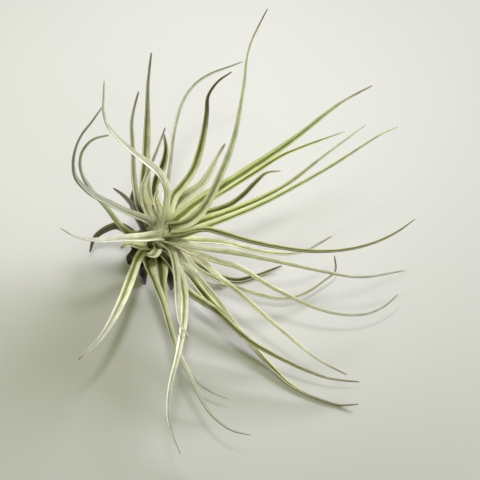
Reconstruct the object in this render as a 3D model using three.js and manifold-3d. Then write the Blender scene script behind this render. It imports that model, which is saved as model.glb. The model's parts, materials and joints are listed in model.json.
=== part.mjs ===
// A Tillandsia oaxacana air plant, picked, standing on the flat foot of its short stem.
// Millimetres, +Z up. The foot's centre is the origin and the rosette leans towards +X.
import * as THREE from "three";
import { mergeVertices } from "three/addons/utils/BufferGeometryUtils.js";
import Module from "manifold-3d";

// Stem: a tapered peg with a domed crown, which the leaves grow from.
const CROWN_HEIGHT = 20;
const STEM_LEAN = 12;
const FOOT_RADIUS = 3.8;
const CROWN_RADIUS = 5.6;
const STEM_SIDES = 16;
const DOME_STEPS = 5;
const BURIED_LENGTH = 6;
const GROUND_SIZE = 100;
const GROUND_DEPTH = 20;
const WELD_DISTANCE = 1e-4;

// Brown stubs of fallen leaves, fused to the stem just above its foot.
const STUB_COUNT = 13;
const STUB_LENGTH = 4.2;
const STUB_RADIUS = 1.2;
const STUB_SIDES = 5;
const STUB_HEIGHTS = [1.6, 5];
const STUB_RISES = [0.5, 1];
const GOLDEN_ANGLE = THREE.MathUtils.degToRad(137.5);
const STUB_SEED = 7;

// Leaf blades: channelled, widest near the root and drawn out to a thread.
const ROOT_WIDTH = 2.7;
const BLADE_THICKNESS = 0.75;
const CHANNEL_RISE = 0.55;
const NECK_LENGTH = 8;
const FACING_DISTANCE = 60;
const FACING_SHARE = 0.35;
const RING_SPACING = 6;
const ROOT_CROWDING = 1.35;
const MIN_RINGS = 7;
const MAX_RINGS = 19;

// Clearances between living pieces, and how leaves are bent until they hold.
const SEAT_GAP = 0.3;
const LEAF_GAP = 0.5;
const LOWEST_SEAT = 0.28;
const BEND_ROUNDS = 600;
const BEND_RATE = 0.45;
const SIDE_SHARE = 0.45;
const ROOT_RINGS = 3;
const EVENNESS = 0.6;
const SPRING_BACK = 0.03;
const SUPPLE_FROM = 8;
const SUPPLE_TO = 40;

// Leaf routes are stated as the eye sees the plant: millimetres to the right of the crown,
// up from it, and nearer to an eye that looks down on the plant at this angle.
const EYE_ELEVATION = THREE.MathUtils.degToRad(55);
const RIGHT = new THREE.Vector3(1, 0, 0);
const UPWARD = new THREE.Vector3(0, Math.sin(EYE_ELEVATION), Math.cos(EYE_ELEVATION));
const NEARER = new THREE.Vector3(0, -Math.cos(EYE_ELEVATION), Math.sin(EYE_ELEVATION));

const DOWN = new THREE.Vector3(0, 0, -1);
const UPRIGHT = new THREE.Vector3(0, 1, 0);
const FOOT = new THREE.Vector3(0, 0, 0);
const CROWN = new THREE.Vector3(STEM_LEAN, 0, CROWN_HEIGHT);
const AXIS = CROWN.clone().sub(FOOT).normalize();
const FACING_POINT = CROWN.clone().addScaledVector(AXIS, FACING_DISTANCE);

const TONES = {
  silver: { color: 0xa9b08f, roughness: 0.85 },
  green: { color: 0x8d9a5b, roughness: 0.8 },
  olive: { color: 0x6a6f42, roughness: 0.85 },
  dry: { color: 0x6f5d49, roughness: 0.95 },
  bark: { color: 0x4a3b2c, roughness: 0.95 },
};

function leaf(name, tone, widths, ...route) {
  return { name, tone, widths, route };
}

// Each leaf has its widths at equal steps from root to tip, and then its route from just
// outside the stem to the tip: [right, up, nearer].
const LEAVES = [
  leaf("leaf_tall", "silver", [5, 3.4, 2.1, 1.1, 0.8],
    [10.5, 1.4, 7], [17, 8.4, 11.5], [23, 21.2, 18], [29, 38, 25], [33, 59.5, 31], [35.5, 77, 34],
    [43, 93, 36]),
  leaf("leaf_back_arc", "silver", [3.2, 2.6, 1.6, 1.2, 0.8],
    [0, 12, -9], [1.7, 27.5, -16], [3.5, 41.5, -20], [7.5, 55.5, -23], [15, 64.5, -25],
    [33, 72, -28]),
  leaf("leaf_kinked", "olive", [4, 3.6, 3, 1.4, 0.8],
    [3, 14, -1], [8.5, 21, 3], [12, 26.5, 6], [15.5, 38, 11], [17.5, 50, 15], [17.6, 55.5, 17],
    [22.7, 63.5, 19], [28, 67, 20]),
  leaf("leaf_upright", "olive", [4.4, 4.4, 3, 1.5, 0.8],
    [-8, 13, -3], [-8, 32, 4], [-7.5, 48, 11], [-7, 63, 18], [-5.5, 75, 23]),
  leaf("leaf_upright_left", "green", [3, 2.5, 1.9, 1.3, 0.8],
    [-10.5, 10, -4], [-13, 21, -4], [-13.6, 34.5, -2], [-14, 47, 0], [-11, 59, 2]),
  leaf("leaf_towards_eye", "silver", [4.2, 3.6, 2.3, 1.5, 0.9],
    [-0.2, 9, 7], [0.8, 16.8, 13], [-2.9, 24.8, 20], [-10, 30.7, 30], [-18.9, 38.6, 42],
    [-24.8, 47, 51], [-24.8, 63, 60]),
  leaf("leaf_short_silver", "silver", [4, 3.8, 2.2, 1.3, 0.8],
    [-7.5, 12, 4], [-8.4, 20.5, 7], [-6.7, 25.2, 8], [-3.4, 33.2, 9], [0.6, 44, 10]),
  leaf("leaf_short_brown", "olive", [2.8, 2.8, 3.1, 2.8, 0.8],
    [-5, 15.5, -2], [-4.2, 21.8, -1], [-1.7, 27, 0], [0, 34.4, 1], [-0.6, 41.2, 1]),
  leaf("leaf_loop_outer", "silver", [2.9, 2.9, 2.6, 1.4, 0.9],
    [-6.3, 5, 7], [-14.7, 8.4, 16], [-23, 12.2, 26], [-31.5, 16.8, 36], [-37, 23, 43],
    [-37.8, 28, 47], [-35.7, 37.8, 52], [-29.4, 46.6, 55], [-25.6, 52, 56]),
  leaf("leaf_loop_inner", "silver", [2.5, 2.1, 1.7, 1.2, 0.8],
    [-13.5, -2, 3], [-18, 1.7, 9], [-24, 9.7, 19], [-31.5, 18.9, 32], [-34.6, 25, 38],
    [-34.8, 32, 42], [-30, 38.3, 46], [-23, 40.3, 49]),
  leaf("leaf_left", "silver", [4, 3.2, 2.3, 1.4, 0.8],
    [-8, -2.1, 12], [-16.4, -2.5, 20], [-29, -3.4, 31], [-39, -0.8, 40], [-43.3, 1.7, 43]),
  leaf("leaf_front_left", "silver", [3.8, 3.8, 3.6, 2.2, 0.8],
    [-10.5, -10.9, 4], [-13, -16.8, 9], [-18.9, -31, 22], [-26.9, -44.5, 34], [-35.7, -53.3, 42]),
  leaf("leaf_front_low", "green", [3.4, 3.2, 2.4, 1.4, 0.9],
    [-2, -11, -1], [-1.3, -20.6, 6], [1.3, -37, 16], [7.6, -54.2, 26], [16, -64.7, 31],
    [26.9, -69.7, 32]),
  leaf("leaf_front_long", "silver", [3.6, 3.2, 2.3, 1.5, 0.9],
    [-7.4, -12, 2], [-5.5, -17.6, 7], [-0.8, -29.8, 17], [4.4, -47.5, 30], [9.7, -58.4, 38],
    [18.9, -75.2, 46], [27.7, -82.3, 49], [36, -84.4, 49]),
  leaf("leaf_front_high", "silver", [3.5, 3.3, 2.3, 1.5, 0.9],
    [5, -10, 2], [8.4, -23.5, 12], [8, -38.2, 26], [5.9, -50, 39], [1.9, -67, 52], [1.9, -79.4, 59],
    [6.7, -92, 63]),
  leaf("leaf_hanging", "silver", [3.3, 3.2, 2.8, 2, 0.8],
    [4.8, -8.5, 8], [6, -21.4, 19], [6, -32, 27], [7.5, -39.5, 31], [11, -44, 32]),
  leaf("leaf_low_dark", "olive", [4, 3.4, 2.3, 1.4, 0.8],
    [5.5, -15, 0], [9.2, -23.5, 5], [14.7, -27.8, 9], [21.8, -32.8, 14], [31.5, -42, 20],
    [39, -47.6, 23], [58.4, -57.5, 26], [69.3, -61.2, 26], [81.5, -62.6, 25]),
  leaf("leaf_low_resting", "green", [4, 3.5, 2.8, 1.2, 0.8],
    [9, -16, -1], [16.8, -26.5, 3], [24, -34, 6], [37, -48.3, 12], [52.9, -64.3, 21],
    [63.8, -69.7, 24.5], [73.5, -72.7, 26.5], [81, -72.2, 28]),
  leaf("leaf_low_short", "green", [2.8, 2.3, 2, 1.6, 0.8],
    [8, -12, 4], [14.7, -19.3, 9], [21.4, -27.5, 13], [29, -38, 15], [36.5, -48, 17],
    [44, -56, 19]),
  leaf("leaf_right_low", "green", [3.8, 2.8, 1.8, 1.2, 0.8],
    [10.5, -8.4, 7], [21.8, -18.5, 14], [30.2, -24.8, 18], [45.4, -38.2, 23], [63.8, -53, 26],
    [76, -59.6, 27]),
  leaf("leaf_right_sagging", "green", [3.8, 2.9, 1.7, 1.2, 0.8],
    [9, -6.3, 8], [20.6, -11.3, 12], [31.5, -14.7, 15], [45, -23, 17], [66.4, -32.8, 15],
    [80, -34.8, 12], [90, -32.5, 9], [97.9, -26, 6]),
  leaf("leaf_right_level", "green", [3.8, 2.8, 1.8, 1.2, 0.8],
    [7, -3.8, 9], [16.8, -6.3, 14], [31.5, -8.8, 18], [47.5, -12.2, 19], [64.7, -16, 18],
    [82, -18.8, 15], [100.8, -16, 9]),
  leaf("leaf_right_long", "olive", [4, 3, 2.1, 1.4, 0.8],
    [7, -1.2, 10], [16.8, 1, 17], [24.4, -0.6, 21], [37, -4.2, 24], [61, -8, 24], [79.8, -6.7, 19],
    [95, -1.4, 14], [105, 5.5, 11]),
  leaf("leaf_right_hidden", "silver", [3, 2.6, 2, 1.2, 0.8],
    [9, -3.2, 3], [25.2, -4.6, 8], [40, -8.2, 10], [56.7, -8.6, 8], [70, -1.7, 3]),
  leaf("leaf_ground_dark", "olive", [2.8, 2.4, 2, 1.5, 0.8],
    [11, -14, -5], [28.6, -21, -9], [37, -19.5, -10.4], [43, -17.2, -11.5], [49, -14.7, -12]),
  leaf("leaf_ground_bent", "olive", [3, 2.4, 1.8, 1.3, 0.8],
    [12, -15.3, -1], [21.4, -20.2, 1], [31.5, -24, 2], [50.4, -28.1, 1], [60, -25.2, -2],
    [68, -19.5, -5], [72, -15.5, -7], [71.2, -10, -9.5]),
  leaf("leaf_upper_right_top", "green", [4.4, 4, 3, 1.8, 0.8],
    [6.5, 6, 5], [14.7, 12.6, 9], [29, 21.8, 14], [53.3, 38.2, 18], [73.5, 53.8, 19],
    [87, 61.3, 17]),
  leaf("leaf_upper_right_under", "green", [3, 2.5, 1.9, 1.3, 0.8],
    [9, 7.5, 0], [24, 16.8, 5], [37.4, 24.8, 8], [49.6, 32.3, 8], [60, 36.5, 7], [76.4, 42.4, 4]),
  leaf("leaf_upper_right_pair", "green", [3.6, 3.2, 2.2, 1.3, 0.8],
    [8, 2.5, 5], [21, 6.6, 10], [37.4, 12.8, 12], [50.8, 19.7, 12], [66.8, 31.9, 10],
    [84.8, 45.4, 5]),
  leaf("leaf_upper_right_low", "green", [3.6, 2.8, 2, 1.3, 0.8],
    [8, 0.6, 9], [19.7, 4.2, 16], [39.9, 11.8, 20], [66.8, 26, 19], [92.4, 42, 14],
    [98.3, 44.5, 12]),
  leaf("leaf_short_hooked", "olive", [2.6, 2.5, 2.3, 1.9, 0.8],
    [13, 6.5, -2], [26.5, 10.7, 0], [33.2, 15.5, 1], [39, 21.4, 1], [44.5, 25.6, 0],
    [49, 25.6, -1]),
  leaf("leaf_back_silver", "silver", [4, 3.6, 2.5, 1.6, 0.8],
    [4, 12, -3], [12.6, 18, 1], [16.8, 21.8, 2], [20.6, 29.4, 3], [25.2, 37.4, 2]),
  leaf("young_leaf", "silver", [2.6, 2.6, 2.2, 1.5, 0.8],
    [-2.5, 7.5, 5.5], [-4, 10.2, 7.5], [-4.6, 12.6, 9.5]),
  leaf("curled_leaf", "silver", [3.2, 3.4, 3.2, 2.4, 1.2],
    [-7, -6.5, 2.5], [-11, -5.6, 5], [-15.5, -5, 5.5], [-18.5, -6.8, 4]),
  leaf("rolled_leaf", "silver", [2.8, 3, 2.8, 2.2, 1.2],
    [-3, -7, 4], [-5, -9.6, 6.5], [-8, -9.4, 8.5]),
  leaf("old_leaf_left", "dry", [3, 3, 2.7, 2.1, 0.8],
    [-16.8, 0.8, -8], [-22, 2.4, -10.5], [-27.3, -0.8, -13], [-31, -4.2, -14.6],
    [-31.8, -8.4, -14.4]),
  leaf("old_leaf_stub", "dry", [2.4, 2.4, 2.2, 1.6, 0.8],
    [-14.7, 12.2, -6], [-18.4, 16, -7], [-21.8, 18.5, -7.5]),
  leaf("old_leaf_wedge", "olive", [3.4, 3.4, 2.8, 1.8, 0.8],
    [-13, 9, -9], [-14.2, 13, -10], [-13.4, 18, -11]),
  leaf("dry_sheath", "dry", [3.2, 3.4, 3, 2, 0.9],
    [-3.8, 11.5, 1.5], [-4.4, 14.4, 2], [-3.2, 17.8, 2.4]),
  leaf("old_leaf_foot", "dry", [2.6, 2.6, 2.2, 1.6, 0.8],
    [-10, -15, -9.5], [-9.7, -18.7, -9.8], [-8.6, -22, -8]),
  leaf("old_leaf_front", "dry", [2.8, 2.8, 2.4, 1.6, 0.8],
    [-0.5, -14, -5], [1.4, -19, -4.4], [2.6, -24.5, -2.6]),
  leaf("old_leaf_right", "olive", [2.4, 2.4, 2.1, 1.5, 0.8],
    [12, 1.6, 1], [17, 2.9, 2.2], [24, 4.2, 2.4]),
  leaf("old_leaf_low", "olive", [2.6, 2.5, 2.1, 1.5, 0.8],
    [11, -17.5, -5], [17, -21, -5.5], [24, -24.2, -5.5]),
];

function fromEye([right, up, nearer]) {
  return CROWN.clone()
    .addScaledVector(RIGHT, right)
    .addScaledVector(UPWARD, up)
    .addScaledVector(NEARER, nearer);
}

// The nearest place on the stem's skin, with the way out of it.
function nearestSeat(point) {
  const axisLine = new THREE.Line3(FOOT, CROWN);
  const nearest = axisLine.closestPointToPointParameter(point, false);
  const along = THREE.MathUtils.clamp(nearest, LOWEST_SEAT, 1);
  const centre = axisLine.at(along, new THREE.Vector3());
  const outward = point.clone().sub(centre);
  const radius = THREE.MathUtils.lerp(FOOT_RADIUS, CROWN_RADIUS, along);
  const height = outward.length() - radius;
  outward.normalize();
  return { centre, outward, radius, height };
}

function seatRoot(line) {
  const seat = nearestSeat(line[0]);
  const lift = seat.radius + SEAT_GAP;
  line[0].copy(seat.centre).addScaledVector(seat.outward, lift);
}

function bladeWidth(piece, share) {
  const place = share * (piece.widths.length - 1);
  const station = Math.min(Math.floor(place), piece.widths.length - 2);
  const blade = THREE.MathUtils.lerp(piece.widths[station], piece.widths[station + 1], place - station);
  const neck = THREE.MathUtils.smoothstep(share * piece.length, 0, NECK_LENGTH);
  return THREE.MathUtils.lerp(ROOT_WIDTH, blade, neck);
}

// A chevron section: two upper edges and the groove between them, then the keel below.
function bladeSection(width) {
  const half = width / 2;
  const rise = half * CHANNEL_RISE;
  const middle = (rise - BLADE_THICKNESS) / 2;
  return [
    [-half, rise - middle],
    [0, -middle],
    [half, rise - middle],
    [half, rise - BLADE_THICKNESS - middle],
    [0, -BLADE_THICKNESS - middle],
    [-half, rise - BLADE_THICKNESS - middle],
  ];
}

// How far a ring of a blade stands out from its centre in one direction.
function reachTowards(piece, ring, direction) {
  const across = direction.dot(piece.sides[ring]);
  const up = direction.dot(piece.facings[ring]);
  return Math.max(...piece.sections[ring].map(([x, y]) => x * across + y * up));
}

// Centre line of a leaf: a smooth curve, sampled more closely near the root.
function growLine(piece) {
  const points = piece.route.map(fromEye);
  const seat = nearestSeat(points[0]);
  const root = seat.centre.clone().addScaledVector(seat.outward, seat.radius + SEAT_GAP);
  const curve = new THREE.CatmullRomCurve3([root, ...points], false, "centripetal");
  piece.length = curve.getLength();
  const wanted = Math.round(piece.length / RING_SPACING) + 2;
  const rings = THREE.MathUtils.clamp(wanted, MIN_RINGS, MAX_RINGS);
  piece.shares = Array.from({ length: rings }, (_, ring) => (ring / (rings - 1)) ** ROOT_CROWDING);
  piece.grown = piece.shares.map((share) => curve.getPointAt(share));
  piece.line = piece.grown.map((point) => point.clone());
  piece.sections = piece.shares.map((share) => bladeSection(bladeWidth(piece, share)));
  face(piece);
}

// A push apart, mostly along the line of sight, so that the plant looks the same.
function softened(push) {
  const towards = push.dot(NEARER);
  return push.multiplyScalar(SIDE_SHARE).addScaledVector(NEARER, towards * (1 - SIDE_SHARE));
}

function pushApart(first, second) {
  let touching = false;
  const segmentA = new THREE.Line3();
  const segmentB = new THREE.Line3();
  const onA = new THREE.Vector3();
  const onB = new THREE.Vector3();
  for (let a = 0; a + 1 < first.line.length; a += 1) {
    segmentA.set(first.line[a], first.line[a + 1]);
    for (let b = 0; b + 1 < second.line.length; b += 1) {
      segmentB.set(second.line[b], second.line[b + 1]);
      const distance = Math.sqrt(segmentA.distanceSqToLine3(segmentB, onA, onB));
      if (distance > first.span + second.span) {
        continue;
      }
      const push = onA.clone().sub(onB).normalize();
      const back = push.clone().negate();
      const needed = LEAF_GAP
        + Math.max(reachTowards(first, a, back), reachTowards(first, a + 1, back))
        + Math.max(reachTowards(second, b, push), reachTowards(second, b + 1, push));
      if (distance < needed) {
        push.multiplyScalar((needed - distance) * BEND_RATE);
        if (Math.min(a, b) >= ROOT_RINGS) {
          softened(push);
        }
        first.shift[a].add(push);
        first.shift[a + 1].add(push);
        second.shift[b].sub(push);
        second.shift[b + 1].sub(push);
        touching = true;
      }
    }
  }
  return touching;
}

function pushOffStemAndGround(piece) {
  piece.line.forEach((point, ring) => {
    const seat = nearestSeat(point);
    const inward = seat.outward.clone().negate();
    const needed = ring === 0 ? SEAT_GAP : reachTowards(piece, ring, inward) + SEAT_GAP;
    if (seat.height < needed) {
      point.addScaledVector(seat.outward, needed - seat.height);
    }
    point.z = Math.max(point.z, reachTowards(piece, ring, DOWN));
  });
}

function boxesMeet(first, second) {
  return first.box.intersectsBox(second.box);
}

// Leaves that would touch are bent clear of one another, of the stem and of the ground.
function bendClear(pieces) {
  for (let round = 0; round < BEND_ROUNDS; round += 1) {
    let touching = false;
    for (const piece of pieces) {
      piece.shift = piece.line.map(() => new THREE.Vector3());
      piece.box = new THREE.Box3().setFromPoints(piece.line).expandByScalar(piece.span);
    }
    for (let i = 0; i < pieces.length; i += 1) {
      for (let j = i + 1; j < pieces.length; j += 1) {
        if (boxesMeet(pieces[i], pieces[j]) && pushApart(pieces[i], pieces[j])) {
          touching = true;
        }
      }
    }
    if (!touching) {
      break;
    }
    for (const piece of pieces) {
      bendEvenly(piece);
      face(piece);
      pushOffStemAndGround(piece);
      seatRoot(piece.line);
    }
  }
}

// A leaf bends evenly: each ring moves with its neighbours, away from the grown shape,
// and springs back to that shape where it is well clear of the root.
function bendEvenly(piece) {
  const bend = piece.line.map((point, ring) => {
    const reached = piece.shares[ring] * piece.length;
    const supple = THREE.MathUtils.smoothstep(reached, SUPPLE_FROM, SUPPLE_TO);
    const moved = point.clone().sub(piece.grown[ring]).add(piece.shift[ring]);
    return moved.multiplyScalar(1 - SPRING_BACK * supple);
  });
  const last = piece.line.length - 1;
  piece.line.forEach((point, ring) => {
    const before = bend[Math.max(ring - 1, 0)];
    const after = bend[Math.min(ring + 1, last)];
    const middle = before.clone().add(after).multiplyScalar(0.5);
    point.copy(piece.grown[ring]).add(bend[ring].lerp(middle, EVENNESS));
  });
}

// Directions along a leaf, which leaves the stem squarely.
function tangentsOf(line) {
  const last = line.length - 1;
  return line.map((point, ring) => {
    if (ring === 0) {
      return nearestSeat(point).outward;
    }
    const ahead = line[Math.min(ring + 1, last)];
    return ahead.clone().sub(line[ring - 1]).normalize();
  });
}

function acrossFrom(vector, tangent) {
  return vector.clone().addScaledVector(tangent, -vector.dot(tangent)).normalize();
}

// The channel of each blade faces up the rosette and is carried along without twisting.
function channelFacings(line, tangents) {
  const start = Math.round((line.length - 1) * FACING_SHARE);
  const facings = [];
  facings[start] = acrossFrom(FACING_POINT.clone().sub(line[start]), tangents[start]);
  for (let ring = start - 1; ring >= 0; ring -= 1) {
    facings[ring] = acrossFrom(facings[ring + 1], tangents[ring]);
  }
  for (let ring = start + 1; ring < line.length; ring += 1) {
    facings[ring] = acrossFrom(facings[ring - 1], tangents[ring]);
  }
  return facings;
}

// Turns a leaf's rings to face the light, once its line is known.
function face(piece) {
  const tangents = tangentsOf(piece.line);
  piece.facings = channelFacings(piece.line, tangents);
  piece.sides = tangents.map((tangent, ring) => tangent.clone().cross(piece.facings[ring]));
  piece.span = Math.max(...piece.widths) / 2 + BLADE_THICKNESS;
}

const SECTION_POINTS = 6;
const SIDE_FACES = [[0, 1], [2, 1], [2, 3], [3, 4], [5, 4], [5, 0]];
const CAP_FACES = [[0, 1, 4], [0, 4, 5], [1, 2, 3], [1, 3, 4]];

// Both faces of a blade are split along the same diagonals.
function bladeGeometry(piece) {
  face(piece);
  const positions = [];
  piece.line.forEach((point, ring) => {
    for (const [across, up] of piece.sections[ring]) {
      const corner = point.clone()
        .addScaledVector(piece.sides[ring], across)
        .addScaledVector(piece.facings[ring], up);
      positions.push(corner.x, corner.y, corner.z);
    }
  });
  const indices = [];
  for (let ring = 0; ring + 1 < piece.line.length; ring += 1) {
    for (const [from, to] of SIDE_FACES) {
      const near = ring * SECTION_POINTS;
      const far = near + SECTION_POINTS;
      const clockwise = (to - from + SECTION_POINTS) % SECTION_POINTS === 1;
      if (clockwise) {
        indices.push(near + from, far + to, far + from, near + from, near + to, far + to);
      } else {
        indices.push(near + from, far + from, far + to, near + from, far + to, near + to);
      }
    }
  }
  const lastRing = (piece.line.length - 1) * SECTION_POINTS;
  for (const [a, b, c] of CAP_FACES) {
    indices.push(a, c, b);
    indices.push(lastRing + a, lastRing + b, lastRing + c);
  }
  const geometry = new THREE.BufferGeometry();
  geometry.setAttribute("position", new THREE.Float32BufferAttribute(positions, 3));
  geometry.setIndex(indices);
  geometry.computeVertexNormals();
  return geometry;
}

// Tapered peg from below the foot to the dome of the crown, leaning with the rosette.
function pegGeometry() {
  const length = FOOT.distanceTo(CROWN);
  const profile = [new THREE.Vector2(0, -BURIED_LENGTH), new THREE.Vector2(FOOT_RADIUS, -BURIED_LENGTH)];
  profile.push(new THREE.Vector2(FOOT_RADIUS, 0));
  for (let step = 0; step <= DOME_STEPS; step += 1) {
    const angle = (step / DOME_STEPS) * Math.PI / 2;
    const radius = step === DOME_STEPS ? 0 : CROWN_RADIUS * Math.cos(angle);
    profile.push(new THREE.Vector2(radius, length + CROWN_RADIUS * Math.sin(angle)));
  }
  const geometry = new THREE.LatheGeometry(profile, STEM_SIDES);
  const leaning = new THREE.Quaternion().setFromUnitVectors(UPRIGHT, AXIS);
  geometry.applyQuaternion(leaning);
  geometry.translate(FOOT.x, FOOT.y, FOOT.z);
  return geometry;
}

function seededDraw(seed) {
  let state = seed;
  return () => {
    state = (state * 16807) % 2147483647;
    return state / 2147483647;
  };
}

// A short dry leaf base, its root inside the stem and its point standing out of it.
function stubGeometry(index, draw) {
  const height = THREE.MathUtils.lerp(STUB_HEIGHTS[0], STUB_HEIGHTS[1], draw());
  const turn = index * GOLDEN_ANGLE;
  const outward = new THREE.Vector3(Math.cos(turn), Math.sin(turn), 0);
  const rise = THREE.MathUtils.lerp(STUB_RISES[0], STUB_RISES[1], draw());
  const direction = acrossFrom(outward, AXIS).addScaledVector(AXIS, rise).normalize();
  const root = FOOT.clone().addScaledVector(AXIS, height).addScaledVector(outward, FOOT_RADIUS / 2);
  const geometry = new THREE.ConeGeometry(STUB_RADIUS, STUB_LENGTH, STUB_SIDES);
  geometry.translate(0, STUB_LENGTH / 2, 0);
  geometry.applyQuaternion(new THREE.Quaternion().setFromUnitVectors(UPRIGHT, direction));
  geometry.translate(root.x, root.y, root.z);
  return geometry;
}

const wasm = await Module();
wasm.setup();

function toSolid(geometry) {
  const bare = geometry.clone();
  bare.deleteAttribute("normal");
  bare.deleteAttribute("uv");
  const merged = mergeVertices(bare, WELD_DISTANCE);
  const vertProperties = Float32Array.from(merged.attributes.position.array);
  const triVerts = Uint32Array.from(merged.index.array);
  return new wasm.Manifold(new wasm.Mesh({ numProp: 3, vertProperties, triVerts }));
}

function fromSolid(solid) {
  const mesh = solid.getMesh();
  const geometry = new THREE.BufferGeometry();
  geometry.setAttribute("position", new THREE.Float32BufferAttribute(mesh.vertProperties, mesh.numProp));
  geometry.setIndex([...mesh.triVerts]);
  geometry.computeVertexNormals();
  return geometry;
}

function stemGeometry() {
  const draw = seededDraw(STUB_SEED);
  let solid = toSolid(pegGeometry());
  for (let index = 0; index < STUB_COUNT; index += 1) {
    solid = solid.add(toSolid(stubGeometry(index, draw)));
  }
  const ground = new THREE.BoxGeometry(GROUND_SIZE, GROUND_SIZE, GROUND_DEPTH);
  ground.translate(0, 0, -GROUND_DEPTH / 2);
  return fromSolid(solid.subtract(toSolid(ground)));
}

function pieceMesh(name, tone, geometry) {
  const material = new THREE.MeshStandardMaterial({
    color: TONES[tone].color,
    roughness: TONES[tone].roughness,
    metalness: 0,
  });
  const mesh = new THREE.Mesh(geometry, material);
  mesh.name = name;
  return mesh;
}

const plant = new THREE.Group();
plant.name = "tillandsia_oaxacana";
plant.add(pieceMesh("stem", "bark", stemGeometry()));
LEAVES.forEach(growLine);
bendClear(LEAVES);
for (const piece of LEAVES) {
  plant.add(pieceMesh(piece.name, piece.tone, bladeGeometry(piece)));
}

export default plant;
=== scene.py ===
"""A Tillandsia oaxacana air plant: silvery channelled leaves on a short, leaning, dry stem."""

import math

import bmesh
import bpy
import numpy as np
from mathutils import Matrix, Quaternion, Vector
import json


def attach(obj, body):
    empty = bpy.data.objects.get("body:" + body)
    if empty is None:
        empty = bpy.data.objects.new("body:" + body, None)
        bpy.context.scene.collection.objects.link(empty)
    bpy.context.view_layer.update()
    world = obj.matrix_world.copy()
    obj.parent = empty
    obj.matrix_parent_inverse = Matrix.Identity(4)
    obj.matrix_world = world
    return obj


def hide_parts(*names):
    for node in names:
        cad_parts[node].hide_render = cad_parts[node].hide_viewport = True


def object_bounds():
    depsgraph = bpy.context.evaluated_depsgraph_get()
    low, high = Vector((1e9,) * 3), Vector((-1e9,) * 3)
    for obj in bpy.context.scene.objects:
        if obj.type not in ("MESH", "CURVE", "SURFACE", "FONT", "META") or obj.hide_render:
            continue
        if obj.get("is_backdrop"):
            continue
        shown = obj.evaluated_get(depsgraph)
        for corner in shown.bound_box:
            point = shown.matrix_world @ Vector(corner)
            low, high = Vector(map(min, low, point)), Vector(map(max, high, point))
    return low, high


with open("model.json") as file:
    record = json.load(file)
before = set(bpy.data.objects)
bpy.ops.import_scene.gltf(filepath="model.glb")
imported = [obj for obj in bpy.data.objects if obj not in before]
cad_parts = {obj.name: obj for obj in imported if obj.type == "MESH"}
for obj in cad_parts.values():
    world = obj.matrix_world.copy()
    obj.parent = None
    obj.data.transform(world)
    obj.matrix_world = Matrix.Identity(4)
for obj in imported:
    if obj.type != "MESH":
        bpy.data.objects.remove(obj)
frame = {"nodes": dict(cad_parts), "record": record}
cad_low, cad_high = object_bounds()

MM = 0.001

# Stem: from the centre of the foot to the crown.
FOOT = np.array([0.0, 0.0, 0.0])
CROWN = np.array([12.0, 0.0, 20.0]) * MM
FOOT_RADIUS = 3.8 * MM
CROWN_RADIUS = 5.6 * MM
STEM_LENGTH = float(np.linalg.norm(CROWN - FOOT))
AXIS = (CROWN - FOOT) / STEM_LENGTH

# Camera: the photograph looks down on the plant at this angle, with the crown to the left of its middle.
EYE_ELEVATION = math.radians(55)
EYE_RIGHT = np.array([1.0, 0.0, 0.0])
EYE_UP = np.array([0.0, math.sin(EYE_ELEVATION), math.cos(EYE_ELEVATION)])
EYE_NEARER = np.array([0.0, -math.cos(EYE_ELEVATION), math.sin(EYE_ELEVATION)])
EYE_DISTANCE = 5.8
TARGET_RIGHT = 31.5 * MM
TARGET_DOWN = 3.36 * MM
EYE_TARGET = CROWN + EYE_RIGHT * TARGET_RIGHT - EYE_UP * TARGET_DOWN
VIEW_WIDTH = 201.6 * MM
SENSOR_WIDTH = 36.0
CLIP_START = 0.1
CLIP_END = 50

# Solid blades: corners of a section, how nearly joined faces lie in one plane, and the weld distance.
CORNERS = 6
FLAT = 0.99995
WELD = 1e-6

# Nothing reaches lower than this over the floor.
FLOOR_GAP = 0.05 * MM

SEED = 11
MAX_SEED = 60
draw = np.random.default_rng(SEED)
down_draw = np.random.default_rng(SEED + 1)


# Reading the routes of the solid leaves


def on_stem(point):
    """Share of the way up the stem, the way out of it, the stem's radius and the height above its skin."""
    share = float(np.clip(np.dot(point - FOOT, AXIS) / STEM_LENGTH, 0, 1))
    outward = point - (FOOT + AXIS * share * STEM_LENGTH)
    radius = FOOT_RADIUS + (CROWN_RADIUS - FOOT_RADIUS) * share
    distance = float(np.linalg.norm(outward))
    return share, outward / distance, radius, distance - radius


def flat_patch(face):
    """The faces that lie in one plane with this one and join it."""
    patch = {face}
    waiting = [face]
    while waiting:
        here = waiting.pop()
        for edge in here.edges:
            for other in edge.link_faces:
                if other not in patch and other.normal.dot(face.normal) > FLAT:
                    patch.add(other)
                    waiting.append(other)
    return patch


def root_ring(solid):
    """The six corners of the flat end of a blade that stands on the stem."""
    found = {}
    for face in solid.faces:
        corners = {corner for near in flat_patch(face) for corner in near.verts}
        if len(corners) == CORNERS:
            centre = np.mean([corner.co for corner in corners], axis=0)
            found[on_stem(centre)[3]] = corners
    return found[min(found)]


def in_turn(ring, before):
    """A ring's corners in order round the blade."""
    beside = {corner: [] for corner in ring}
    for corner in ring:
        for edge in corner.link_edges:
            other = edge.other_vert(corner)
            on_side = any(set(face.verts) & before for face in edge.link_faces)
            if other in ring and on_side:
                beside[corner].append(other)
    turn = [min(ring, key=lambda corner: corner.index)]
    while len(turn) < len(ring):
        turn.append(next(c for c in beside[turn[-1]] if c not in turn))
    return turn


def places(corners):
    """Where corners are, as rows of three."""
    return np.array([corner.co for corner in corners])


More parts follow.
